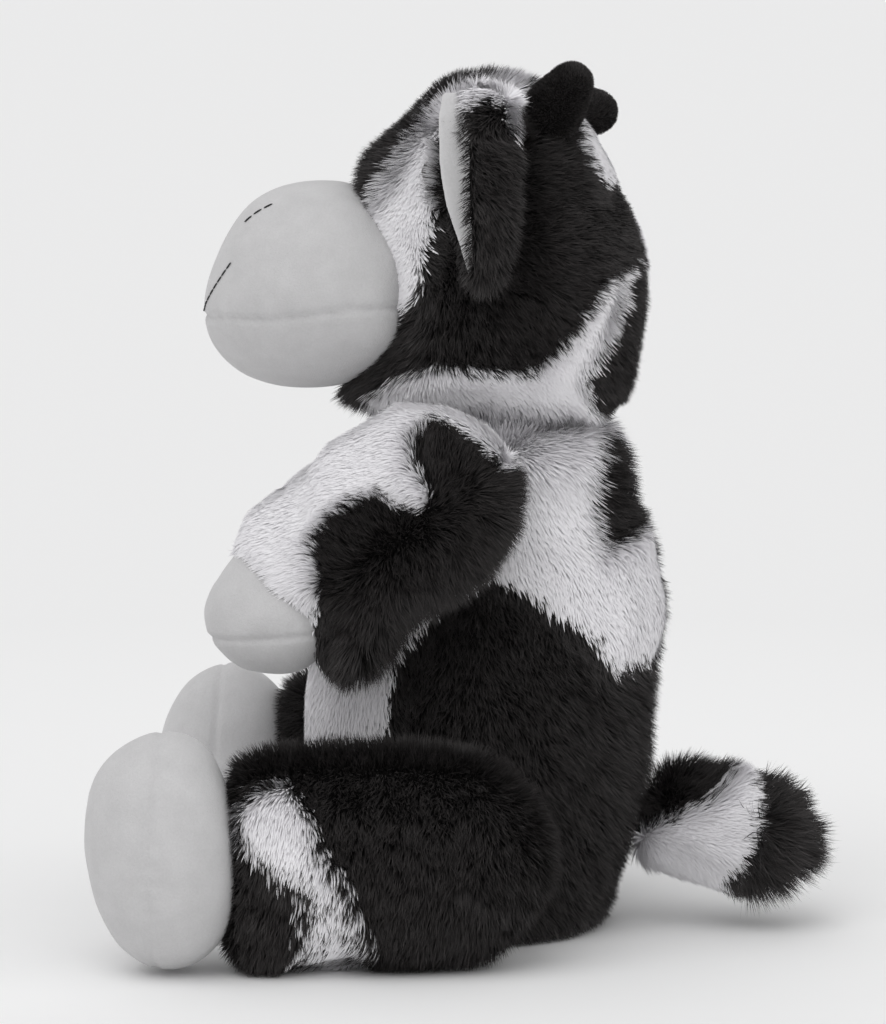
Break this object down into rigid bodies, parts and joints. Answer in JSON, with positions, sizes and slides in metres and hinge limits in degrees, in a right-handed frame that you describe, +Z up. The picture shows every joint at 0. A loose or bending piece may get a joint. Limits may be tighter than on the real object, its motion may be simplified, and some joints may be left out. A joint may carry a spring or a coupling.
{
  "type": "plush cow",
  "caption": "Sitting black and white stuffed toy cow with a turning head, hanging ears, stub horns, swinging arms and legs and a thick tail.",
  "frame": {"origin": "on the floor, in the middle of the flat seat panel", "axes": "+X is the cow's own left side, -Y is where it faces, +Z is up"},
  "size_m": [0.224, 0.2316, 0.2841],
  "materials": {
    "body_fur": "matte",
    "head_fur": "matte",
    "limb_fur": "matte",
    "smooth_plush": "matte",
    "ear_lining": "matte",
    "horn_velour": "matte",
    "polyester_fill": "matte",
    "pellet_bag": "matte",
    "eye_plastic": "gloss",
    "washer_plastic": "satin",
    "embroidery_thread": "satin"
  },
  "bodies": {
    "torso": {"torso_panel_left": "body_fur", "torso_panel_right": "body_fur", "seat_panel": "body_fur", "torso_stuffing": "polyester_fill", "bean_bag": "pellet_bag"},
    "neck": {"neck_stuffing": "polyester_fill"},
    "head": {"head_panel_left": "head_fur", "head_panel_right": "head_fur", "crown_gusset": "head_fur", "chin_panel": "head_fur", "head_stuffing": "polyester_fill", "muzzle_upper": "smooth_plush", "muzzle_lower": "smooth_plush", "eye_left": "eye_plastic", "eye_right": "eye_plastic", "eye_washer_left": "washer_plastic", "eye_washer_right": "washer_plastic", "nostril_stitch_left": "embroidery_thread", "nostril_stitch_right": "embroidery_thread", "mouth_stitch": "embroidery_thread", "horn_left": "horn_velour", "horn_right": "horn_velour", "horn_stuffing_left": "polyester_fill", "horn_stuffing_right": "polyester_fill"},
    "ear_left": {"ear_outer_left": "head_fur", "ear_inner_left": "ear_lining"},
    "ear_right": {"ear_outer_right": "head_fur", "ear_inner_right": "ear_lining"},
    "arm_left": {"arm_left": "limb_fur", "hoof_left": "smooth_plush", "hoof_sole_left": "smooth_plush", "arm_stuffing_left": "polyester_fill"},
    "arm_right": {"arm_right": "limb_fur", "hoof_right": "smooth_plush", "hoof_sole_right": "smooth_plush", "arm_stuffing_right": "polyester_fill"},
    "leg_left": {"leg_left": "limb_fur", "foot_upper_left": "smooth_plush", "foot_sole_left": "smooth_plush", "leg_stuffing_left": "polyester_fill"},
    "leg_right": {"leg_right": "limb_fur", "foot_upper_right": "smooth_plush", "foot_sole_right": "smooth_plush", "leg_stuffing_right": "polyester_fill"},
    "tail": {"tail": "body_fur", "tail_stuffing": "polyester_fill", "tail_tuft": "body_fur"}
  },
  "joints": [
    {"name": "neck_turn", "type": "hinge", "parent": "torso", "child": "neck", "pos_m": [0, 0.008, 0.1655], "axis": [0, 0, 1], "range_deg": [-45, 45]},
    {"name": "neck_nod", "type": "hinge", "parent": "neck", "child": "head", "pos_m": [0, 0.008, 0.1655], "axis": [1, 0, 0], "range_deg": [-12, 3]},
    {"name": "ear_left_flap", "type": "hinge", "parent": "head", "child": "ear_left", "pos_m": [0.04, 0.0065, 0.26371], "axis": [0, -1, 0], "range_deg": [0, 40]},
    {"name": "ear_right_flap", "type": "hinge", "parent": "head", "child": "ear_right", "pos_m": [-0.04, 0.0065, 0.26371], "axis": [0, 1, 0], "range_deg": [0, 40]},
    {"name": "arm_left_swing", "type": "hinge", "parent": "torso", "child": "arm_left", "pos_m": [0.03887, -0.004, 0.143], "axis": [-0.9448, 0.2532, -0.2079], "range_deg": [-15, 20]},
    {"name": "arm_right_swing", "type": "hinge", "parent": "torso", "child": "arm_right", "pos_m": [-0.03887, -0.004, 0.143], "axis": [-0.9448, -0.2532, 0.2079], "range_deg": [-15, 20]},
    {"name": "leg_left_swing", "type": "hinge", "parent": "torso", "child": "leg_left", "pos_m": [0.0545, -0.007, 0.0363], "axis": [-0.9925, -0.1219, 0], "range_deg": [0, 18]},
    {"name": "leg_right_swing", "type": "hinge", "parent": "torso", "child": "leg_right", "pos_m": [-0.0545, -0.007, 0.0363], "axis": [-0.9925, 0.1219, 0], "range_deg": [0, 18]},
    {"name": "tail_lift", "type": "hinge", "parent": "torso", "child": "tail", "pos_m": [0, 0.07165, 0.0385], "axis": [1, 0, 0], "range_deg": [-12, 35]}
  ]
}
